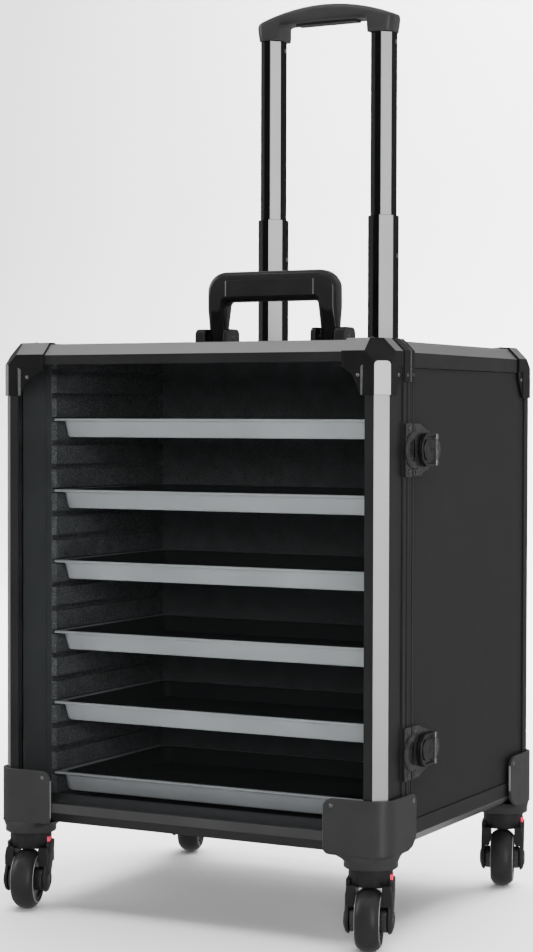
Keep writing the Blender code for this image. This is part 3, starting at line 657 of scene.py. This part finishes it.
def handle_bracket(side, sx):
    """Two cheeks on a foot with the handle's pin through them."""
    low, high = case_box(f"handle_bracket_{side}")
    seat = low[2]
    clevis = cuboid((low[0], low[1], seat), (high[0], high[1], seat + 1.8))
    for near, far in ((46.0, 51.4), (72.1, 83.0)):
        cheek = ([(-13.0, seat + 1.0), (13.0, seat + 1.0)] + arc(7.0, 470.0, 6.0, 0, 90, 6)
                 + arc(-7.0, 470.0, 6.0, 90, 180, 6))
        prism(cheek, "x", sx * near, sx * far, clevis)
    piece(f"handle_bracket_{side}_clevis", clevis, [GLOSS], "case", [f"handle_bracket_{side}"],
          bevel=1.3, steps=3)
    pin = turned([(0, 45.7), (3.0, 45.7), (3.4, 46.1), (3.4, 82.9), (3.0, 83.3), (0, 83.3)],
                 (0, 0, PIVOT_Z), "x", 20)
    flip_x(pin, sx)
    piece(f"handle_pin_{side}", pin, [SCREW], "case")


leg = handle_leg()
middle = [(Vector((x, 0, HANDLE_TOP - GRIP_THICK / 2)), Vector((0, 0, -1)), GRIP_THICK, 23.8, 7.5)
          for x in (-40, 0, 40)]
piece("carry_handle_grip", swept(leg + middle + [other_side(each) for each in reversed(leg)]), [GLOSS],
      "handle", ["carry_handle"], smooth=50)
piece("carry_handle_inlay", prism(soft_box(0, INLAY_Z, 96.0, 16.3, 1.8, 4), "y", -12.3, -11.0), [INLAY],
      "handle", bevel=0.35)
for side, sx in (("left", -1), ("right", 1)):
    # A thin light strip at each end of the inlay, a painted highlight for its lit edge.
    highlight_strip = [(sx * 48.4, INLAY_Z - 7.7), (sx * 49.1, INLAY_Z - 7.7), (sx * 49.1, INLAY_Z + 7.7),
            (sx * 48.4, INLAY_Z + 7.7)]
    piece(f"carry_handle_edge_highlight_{side}", prism(highlight_strip, "y", -12.4, -11.2), [EDGE_HIGHLIGHT], "handle",
          bevel=0.15)
    handle_bracket(side, sx)


# ---------------------------------------------------------------- trolley
def trolley_tube(stage, side, cut, wall, button_down):
    """An eight-sided tube, open if it has a wall, with a spring button near its upper end."""
    node, body = f"trolley_{stage}_tube_{side}", f"trolley_{stage}"
    low, high = case_box(node)
    cx, cy = (low[0] + high[0]) / 2, (low[1] + high[1]) / 2
    width, depth = high[0] - low[0], high[1] - low[1]
    outer = oblong(cx, cy, width, depth, cut)
    marks = [0, 0, 1, 0, 0, 0, 1, 0]
    if wall:
        inner = oblong(cx, cy, width - 2 * wall, depth - 2 * wall, cut - 1.2 * wall)
        rows = [(inner, high[2]), (outer, high[2]), (outer, low[2]), (inner, low[2])]
        bar = bmesh.new()
        loops = [[bar.verts.new((x, y, z)) for x, y in flat] for flat, z in rows]
        bridge(bar, loops, closed=True, marks=[0, marks, 0, 0])
    else:
        bar = stack([[(x, y, z) for x, y in outer] for z in (low[2], high[2])], marks=[marks])
    piece(f"{node}_bar", bar, [TUBE_BLACK, TUBE_SILVER], body, [node], bevel=0.7, steps=3)
    button = turned([(0, 0.4), (1.7, 0.4), (2.2, 0.1), (2.2, -0.6), (0, -0.6)],
                    (high[0], cy + 3.0, high[2] - button_down), "x", 16)
    piece(f"trolley_{stage}_button_{side}", button, [STEEL], body)


for side in ("left", "right"):
    trolley_tube("lower", side, 11.0, 1.8, 41.0)
    trolley_tube("upper", side, 8.5, 0.0, 9.0)
    keep(f"trolley_channel_{side}", PLASTIC, 0.8)
keep("trolley_bridge", PLASTIC, 0.8)

grip_low, grip_high = case_box("trolley_grip")
LIFT_Z = grip_low[2]
GRIP_Y = (grip_low[1] + grip_high[1]) / 2
GRIP_DEEP = grip_high[1] - grip_low[1]
END_X, SHOULDER, LEG_IN, FILLET_IN, NOSE = 78.5, 17.5, 51.0, 45.0, 9.0


def grip_slice(x, narrow=0.0):
    """A slice of the grip at x: an arched bar with a leg over each tube, its end flared upward."""
    reach = abs(x)
    top = LIFT_Z + SHOULDER + (grip_high[2] - LIFT_Z - SHOULDER) * (1 - (reach / END_X) ** 2)
    if reach > LEG_IN:
        under = LIFT_Z
    elif reach > FILLET_IN:
        under = LIFT_Z + 9.0 + 6.0 * math.sqrt(1 - ((reach - FILLET_IN) / (LEG_IN - FILLET_IN)) ** 2)
    else:
        under = LIFT_Z + 15.0 + 1.0 * (1 - (reach / FILLET_IN) ** 2)
    deep = GRIP_DEEP - 2 * narrow
    points = []
    for u, v in soft_box(0, 0, deep, top - under, min(6.0, deep / 2.2), 5):
        z = (top + under) / 2 + v
        flare = 1.0 - 0.032 * (1 - min(1.0, (z - LIFT_Z) / SHOULDER)) if reach > 70 else 1.0
        squared = reach > LEG_IN and z < LIFT_Z + 3.0
        points.append((x * flare, GRIP_Y + u, LIFT_Z if squared else z))
    return points


nose = [math.radians(a) for a in (90, 75, 60, 45, 30, 15, 0)]
half_run = [(END_X - NOSE + NOSE * math.sin(t), NOSE - NOSE * math.cos(t)) for t in nose]
half_run += [(x, 0) for x in (64, 58, 52, 51.1, 51.0, 50.6, 49.6, 48.0, 45.0, 36, 24, 12)]
slices = [grip_slice(-x, n) for x, n in half_run] + [grip_slice(0)]
slices += [grip_slice(x, n) for x, n in reversed(half_run)]
piece("trolley_grip_bar", stack(slices), [GRIP], "trolley_upper", ["trolley_grip"], smooth=42)
keep("trolley_release", PLASTIC, 1.0, 3)

# ---------------------------------------------------------------- latches
LATCH_HALF = 24
WING_Y = -99.0


def latch_plate(level, z, face):
    """The plate on the body, narrower towards the back, and its two screws."""
    low = case_box(f"latch_{level}_base")[0]
    half = [(low[1], LATCH_HALF), (PARTING + 17, LATCH_HALF), (PARTING + 22, 21.5), (PARTING + 38, 17),
            (PARTING + 44, 11), (PARTING + 46, 6)]
    outline = [(y, z - v) for y, v in half] + [(y, z + v) for y, v in reversed(half)]
    piece(f"latch_{level}_plate", prism(outline, "x", low[0], face), [LATCH_DARK], "case",
          [f"latch_{level}_base"], bevel=0.7, steps=3)
    heads = bmesh.new()
    for sz in (-1, 1):
        screw_head(heads, (face, PARTING + 8.5, z + sz * 19.0), (1, 0, 0), 3.0, 1.3)
    piece(f"latch_{level}_base_screws", heads, [SCREW], "case")


def latch_catch(level, z, face):
    """The keeper on the door, with a dark half-round dome beside the wing as painted shade, and its two
    screws.
    """
    low, high = case_box(f"latch_{level}_keeper")
    near, far = low[1] + 2.2, high[1]
    catch = prism([(near, z - LATCH_HALF), (far, z - LATCH_HALF), (far, z + LATCH_HALF),
                   (near, z + LATCH_HALF)], "x", low[0], face)
    # A dark half-round dome beside the wing, standing in for the shadow the latch casts on the door: painted
    # shade.
    rows = [(16.0, face - 0.4), (15.8, face + 1.2), (14.6, face + 2.2), (12.4, face + 2.6),
            (8.0, face + 1.0), (4.0, face + 0.6)]
    stack([[(x, y, v) for y, v in arc(far - 0.2, z, r, 90, 270, 20) + [(far - 0.2, z)]] for r, x in rows],
          catch)
    piece(f"latch_{level}_catch", catch, [LATCH_DARK], "door", [f"latch_{level}_keeper"], bevel=0.4)
    heads = bmesh.new()
    for sz in (-1, 1):
        screw_head(heads, (face, far - 6.5, z + sz * 19.5), (1, 0, 0), 2.8, 1.3)
    piece(f"latch_{level}_catch_screws", heads, [SCREW], "door")


def latch_wing(level, z):
    """The turning half: a dish with its insert, lock, rod and tongue."""
    body = f"latch_{level}"
    seat = case_box(f"latch_{level}_wing")[0][0]
    tub = [(WING_Y + 15.5, z - 15), (WING_Y + 15.5, z + 15)] + arc(WING_Y - 1.0, z, 16.0, 110, 250, 18)
    dish = prism(tub, "x", seat, seat + 2.2)
    mid_y = WING_Y + 1.0
    stack([[(seat + x, mid_y + (y - mid_y) * scale, z + (v - z) * scale) for y, v in tub]
           for scale, x in ((1.0, 2.0), (0.99, 4.0), (0.93, 4.6), (0.84, 4.2), (0.80, 2.4))], dish)
    piece(f"latch_{level}_dish", dish, [LATCH], body, [f"latch_{level}_wing"], bevel=0.35)
    insert = [(WING_Y + 13.5, z - 9.5), (WING_Y + 13.5, z + 9.5)] + arc(WING_Y + 0.5, z, 10.5, 115, 245, 14)
    piece(f"latch_{level}_insert", prism(insert, "x", seat + 2.0, seat + 3.6), [LATCH], body,
          bevel=0.5)
    key = turned([(0, 3.4), (1.6, 3.4), (1.6, 4.0), (2.9, 4.0), (3.1, 3.2), (0, 3.2)],
                 (seat, WING_Y + 8.5, z), "x", 20)
    piece(f"latch_{level}_lock", key, [LATCH_DARK], body)
    half = [(0, 14.5), (2.0, 14.5), (2.5, 14), (2.5, 9.5), (1.9, 9.2)]
    rod = turned([(r, -v) for r, v in half] + half[::-1], (seat + 3.0, WING_Y + 16.2, z), "z", 16)
    piece(f"latch_{level}_rod", rod, [STEEL], body)
    tongue = [(WING_Y + 17.5, z - 10)] + arc(WING_Y + 18, z, 10.0, -80, 80, 14) + [(WING_Y + 17.5, z + 10)]
    piece(f"latch_{level}_tongue", prism(tongue, "x", seat + 0.9, seat + 2.9), [TONGUE], body,
          bevel=0.6)


for level in ("upper", "lower"):
    base_low, base_high = case_box(f"latch_{level}_base")
    latch_z = (base_low[2] + base_high[2]) / 2
    latch_plate(level, latch_z, base_high[0])
    latch_catch(level, latch_z, base_high[0])
    latch_wing(level, latch_z)

# ---------------------------------------------------------------- casters
TURN = math.radians(19.0)
TRAIL = 13.0
WING_THICK, WING_BEND, WING_FOOT = 3.0, 20.0, -0.6
TIP = 0.001                              # a side wing's round ends start this far past its edge
CUP_R, CUP_SQUARE = 24.5, 3.6
CROWN_R, CROWN_LOW = 20.0, -28.0
LEG_X = 17.4
HUB_R, TREAD_HALF = 11.0, 11.0


def joint_at(name):
    """A joint's place in the case's own millimetres."""
    joint = [each for each in frame["record"]["behaviour"]["joints"] if each["name"] == name][0]
    return (Vector(joint["pos_m"]) - ORIGIN) / MM


def wing_limits(name):
    """A bracket's outer faces, the ends of its wings and its top."""
    low, high = case_box(f"{name}_bracket")
    return (max(abs(low[0]), abs(high[0])), D / 2 + 3.5, min(abs(low[0]), abs(high[0])),
            min(abs(low[1]), abs(high[1])), high[2])


def round_end(radius, reach):
    """How far an edge with a round corner falls back at a distance from its end."""
    return radius - math.sqrt(max(0.0, radius ** 2 - max(0.0, radius - reach) ** 2))


def caster_wings(name, sx, sy, owner):
    """One plate bent round the corner; a column is (outer, inner, distance from its end, foot radius)."""
    x_out, y_out, end_x, end_y, top = wing_limits(name)
    x_in, y_in = x_out - WING_THICK, y_out - WING_THICK
    columns = [((x, y_out), (x, y_in), x - end_x, 6.0)
               for x in (end_x, end_x + 1.2, end_x + 3.6, end_x + 8, end_x + 18, x_out - WING_BEND - 6)]
    for i in range(9):
        t = math.radians(90 - 90 * i / 8)
        bend = (x_out - WING_BEND + WING_BEND * math.cos(t), y_out - WING_BEND + WING_BEND * math.sin(t))
        columns.append((bend, (x_in - 12 + 12 * (i / 8), y_in - 12 * (i / 8)), 99, 6.0))
    columns += [((x_out, y), (x_in, y), y - end_y + TIP, 17.0)
                for y in (y_out - WING_BEND - 6, end_y + 18, end_y + 8, end_y + 3.6, end_y + 1.2, end_y)]
    bm = bmesh.new()
    grid = []
    for (ox, oy), (ix, iy), reach, foot_radius in columns:
        upper, lower = top - round_end(9.0, reach), WING_FOOT + round_end(foot_radius, reach)
        rows = [lower + (upper - lower) * f for f in (1.0, 0.85, 0.5, 0.2, 0.0)]
        outer = [bm.verts.new((sx * ox, sy * oy, z)) for z in rows]
        inner = [bm.verts.new((sx * ix, sy * iy, z)) for z in rows]
        grid.append(outer + inner[::-1])
    bridge(bm, grid)
    # Both wing ends take the light edge colour, a painted highlight line.
    for last in (grid[0], grid[-1]):
        bm.faces.new(last).material_index = 1
    piece(f"{name}_wings", bm, [BRACKET, EDGE_HIGHLIGHT], owner, [f"{name}_bracket"], bevel=0.8, steps=3)


def caster_cup(name, sx, sy, owner, cup):
    """The skirt under the wings, from their squarish outline in to the round cup."""
    x_out, y_out, end_x = wing_limits(name)[:3]
    wide, deep = x_out - end_x - 3.0, y_out - (D / 2 - 48.0)
    mid_x, mid_y = sx * (x_out - 0.4 - wide / 2), sy * (y_out - 0.4 - deep / 2)
    skirt = []
    for z, mix, swell in ((-0.4, 0.0, 0.0), (-1.6, 0.25, 0.0), (-3.4, 0.62, 0.3), (-5.4, 0.9, 0.4),
                          (-7.2, 1.0, 0.0), (cup.z + 0.8, 1.0, 0.0), (cup.z, 1.0, -0.8)):
        rim = []
        for k in range(48):
            t = 2 * math.pi * k / 48
            ct, st = math.cos(t), math.sin(t)
            scale = (abs(ct) ** CUP_SQUARE + abs(st) ** CUP_SQUARE) ** (-1 / CUP_SQUARE)
            bx, by = mid_x + wide / 2 * scale * ct, mid_y + deep / 2 * scale * st
            rx, ry = cup.x + (CUP_R + swell) * ct, cup.y + (CUP_R + swell) * st
            rim.append((bx + (rx - bx) * mix, by + (ry - by) * mix, z))
        skirt.append(rim)
    piece(f"{name}_cup", stack(skirt), [BRACKET], owner, smooth=50)


def caster_screws(name, sx, sy, owner):
    """One screw near the top of each wing."""
    x_out, y_out, end_x, end_y, top = wing_limits(name)
    heads = bmesh.new()
    screw_head(heads, (sx * (end_x + 8.5), sy * y_out, top - 6.5), (0, sy, 0), 1.9, 0.7)
    screw_head(heads, (sx * x_out, sy * (end_y + 6.5), top - 6.5), (sx, 0, 0), 2.4, 0.7)
    piece(f"{name}_screws", heads, [STEEL], owner)


def fork_leg(s, hub_z):
    """A leg plate, slanting back to the hub and drawn in towards its outer face."""
    flat = ([(11.0, CROWN_LOW + 6), (-11.0, CROWN_LOW + 6), (-12.5, CROWN_LOW - 2)]
            + arc(-TRAIL, hub_z, 12.5, 165, 385, 20) + [(9.5, CROWN_LOW - 6)])
    loops = []
    for shrink, x in ((1.0, LEG_X), (1.0, LEG_X + 1.6), (0.9, LEG_X + 3.2), (0.72, LEG_X + 4.0)):
        outline = []
        for y, z in flat:
            along = min(1.0, max(0.0, (CROWN_LOW - z) / (CROWN_LOW - hub_z)))
            spine, tip = -TRAIL * along, max(z, hub_z)
            outline.append((s * x, spine + (y - spine) * shrink, tip + (z - tip) * shrink))
        loops.append(outline)
    return stack(loops)


def caster_fork(name, spot, top_z, hub_z):
    """The round crown, two shoulders with legs and bosses, the axle and the red marker."""
    body = f"{name}_swivel"
    crown = [(0, top_z), (CROWN_R - 0.8, top_z), (CROWN_R, top_z - 0.8), (CROWN_R, CROWN_LOW + 1.2),
             (CROWN_R - 1.0, CROWN_LOW), (0, CROWN_LOW)]
    piece(f"{name}_crown", turned(crown, (0, 0, 0), "z", 48), [PLASTIC], body, [f"{name}_fork"],
          place=spot)
    for index, s in enumerate((-1, 1), 1):
        shoulder = [(s * x, CROWN_LOW + z) for x, z in ((12.0, 2.0), (19.5, 2.0), (21.0, -6.0), (21.0, -15.0),
                                                        (17.6, -16.8), (13.0, -16.5), (12.0, -12.0))]
        piece(f"{name}_shoulder_{index}", prism(shoulder, "y", -20.0, 9.0), [PLASTIC], body,
              bevel=0.8, place=spot)
        piece(f"{name}_leg_{index}", fork_leg(s, hub_z), [PLASTIC], body, bevel=0.5,
              place=spot)
        boss = turned([(0, LEG_X + 3.6), (7.6, LEG_X + 3.6), (7.2, LEG_X + 4.8), (5.0, LEG_X + 5.2),
                       (4.4, LEG_X + 4.5), (0, LEG_X + 4.5)], (0, -TRAIL, hub_z), "x", 28)
        flip_x(boss, s)
        piece(f"{name}_boss_{index}", boss, [HUB], body, place=spot)
    axle = turned([(0, -LEG_X - 1.0), (3.0, -LEG_X - 1.0), (3.0, LEG_X + 1.0), (0, LEG_X + 1.0)],
                  (0, -TRAIL, hub_z), "x", 16)
    piece(f"{name}_axle", axle, [STEEL], body, place=spot)
    marker = cuboid((LEG_X, -8.5, CROWN_LOW + 4.5), (20.5, -1.5, CROWN_LOW + 11.0))
    piece(f"{name}_marker", marker, [RED], body, bevel=0.5, place=spot)


def caster_wheel(name, spot, hub_z):
    """Tyre, thin light grey rings beside its tread that paint a highlight line, and the core."""
    body = f"{name}_wheel"
    low, high = case_box(body)
    radius, w = (high[2] - low[2]) / 2, TREAD_HALF
    centre = (0, -TRAIL, hub_z)
    tread = [(radius - 8.5, -w + 1.2), (radius - 8.0, -w), (radius - 6.0, -w), (radius - 4.6, -w + 0.5),
             (radius - 3.0, -w + 2.0), (radius - 1.4, -w + 4.4), (radius - 0.4, -w + 7.2), (radius, -w + 9.6)]
    tread += [(a, -b) for a, b in reversed(tread)]
    tread += [(radius - 9.5, w - 3.0), (radius - 9.5, -w + 3.0)]
    piece(f"{name}_tyre", turned(tread, centre, "x", 64), [RUBBER], body, [body], place=spot)
    # Thin light grey rings beside the tread, a painted highlight line at the tyre's edge.
    highlight_rings = bmesh.new()
    for s in (-1, 1):
        highlight_profile = [(radius - 6.4, s * 10.8), (radius - 6.2, s * 11.35), (radius - 5.6, s * 11.3),
                (radius - 5.4, s * 10.7)]
        turned(highlight_profile, centre, "x", 64, highlight_rings)
    piece(f"{name}_beads", highlight_rings, [EDGE_HIGHLIGHT], body, place=spot)
    core = [(3.4, -LEG_X + 0.4), (HUB_R - 0.8, -LEG_X + 0.4), (HUB_R, -LEG_X + 1.2), (HUB_R, -w + 2.6),
            (radius - 11.0, -w + 2.4), (radius - 10.2, -w + 0.6), (radius - 8.9, -w + 0.6),
            (radius - 8.6, -w + 2.0)]
    core += [(a, -b) for a, b in reversed(core)]
    piece(f"{name}_core", turned(core, centre, "x", 48), [HUB], body, place=spot)


for tag, sx, sy, owner in (("front_right", 1, -1, "door"), ("front_left", -1, -1, "door"),
                           ("rear_right", 1, 1, "case"), ("rear_left", -1, 1, "case")):
    name = f"caster_{tag}"
    cup, hub = joint_at(f"{name}_turn"), joint_at(f"{name}_roll")
    spot = Matrix.Translation((cup.x, cup.y, 0)) @ Matrix.Rotation(TURN, 4, "Z")
    caster_wings(name, sx, sy, owner)
    caster_cup(name, sx, sy, owner, cup)
    caster_screws(name, sx, sy, owner)
    caster_fork(name, spot, cup.z, hub.z)
    caster_wheel(name, spot, hub.z)

# ---------------------------------------------------------------- studio
floor_z = cad_low[2]
stage_bm = bmesh.new()
SWEEP_NEAR, SWEEP_FAR, SWEEP_HALF, SWEEP_TOP, SWEEP_BEND = -6.0, 4.4, 7.0, 7.0, 1.2
path = ([(SWEEP_NEAR, 0.0)] + arc(SWEEP_FAR - SWEEP_BEND, SWEEP_BEND, SWEEP_BEND, -90, 0, 9)
        + [(SWEEP_FAR, SWEEP_TOP)])
rows = [[stage_bm.verts.new((x, y, floor_z + z)) for y, z in path] for x in (-SWEEP_HALF, SWEEP_HALF)]
for i in range(len(path) - 1):
    stage_bm.faces.new([rows[0][i], rows[1][i], rows[1][i + 1], rows[0][i + 1]])
stage_mesh = bpy.data.meshes.new("sweep")
stage_bm.to_mesh(stage_mesh)
stage_bm.free()
stage_mesh.shade_smooth()
PAPER = look("paper", (0.86, 0.86, 0.86), 0.9, specular=0.1, tint=0.01, patch=3, grain=300, bump=0.05)
stage_mesh.materials.append(PAPER)
sweep = bpy.data.objects.new("sweep", stage_mesh)
bpy.context.scene.collection.objects.link(sweep)
sweep.visible_glossy = False

world = bpy.data.worlds.new("studio")
bpy.context.scene.world = world
world.use_nodes = True
sky = world.node_tree.nodes["Background"]
sky.inputs["Color"].default_value = (1.0, 1.0, 1.0, 1)
sky.inputs["Strength"].default_value = 0.30


def area_light(name, at, aim, size, power, size_y=None, mirrored=True):
    """A soft panel of light; one that is not mirrored lights surfaces but leaves no reflection."""
    data = bpy.data.lights.new(name, "AREA")
    data.shape = "RECTANGLE"
    data.size = size
    data.size_y = size_y or size
    data.energy = power
    light = bpy.data.objects.new(name, data)
    light.location = at
    light.rotation_euler = (Vector(aim) - Vector(at)).to_track_quat("-Z", "Y").to_euler()
    light.visible_glossy = mirrored
    bpy.context.scene.collection.objects.link(light)


centre = Vector((0, 0, 0.42))
area_light("right_bank", (2.3, -1.25, 0.75), centre, 0.9, 11, 2.2)
area_light("top_bank", (-0.9, -0.2, 2.6), centre, 1.6, 0.15)
area_light("edge_strip", (-0.4, -0.7, 2.3), centre, 1.8, 1.2, 0.05)
area_light("rim_bank", (-2.6, -0.8, 1.6), centre, 0.5, 14, 1.8)
area_light("front_fill", (1.3, -2.8, 1.2), centre, 1.2, 60, mirrored=False)
area_light("back_wash", (0.0, 3.0, 3.2), (0, 4.4, 1.2), 4.0, 800, mirrored=False)
area_light("floor_wash", (0.0, 0.5, 3.6), (0, 0.5, 0), 4.0, 420, mirrored=False)

CAMERA_AT = Vector((1.01008, -1.91714, 0.38888))   # from the middle of the case's underside, in metres
YAW, PITCH, ROLL = 0.488321, 0.027236, 0.002505
camera_data = bpy.data.cameras.new("view")
camera_data.sensor_width = 36.0
camera_data.lens = 82.74
camera_data.clip_start, camera_data.clip_end = 0.05, 30.0
camera = bpy.data.objects.new("view", camera_data)
forward = Vector((-math.sin(YAW) * math.cos(PITCH), math.cos(YAW) * math.cos(PITCH), -math.sin(PITCH)))
side = Vector((math.cos(YAW), math.sin(YAW), 0.0))
over = side.cross(forward)
right_axis = side * math.cos(ROLL) + over * math.sin(ROLL)
up_axis = over * math.cos(ROLL) - side * math.sin(ROLL)
facing = Matrix((right_axis, up_axis, -forward)).transposed()
camera.matrix_world = Matrix.Translation(ORIGIN + CAMERA_AT) @ facing.to_4x4()
bpy.context.scene.collection.objects.link(camera)
bpy.context.scene.camera = camera
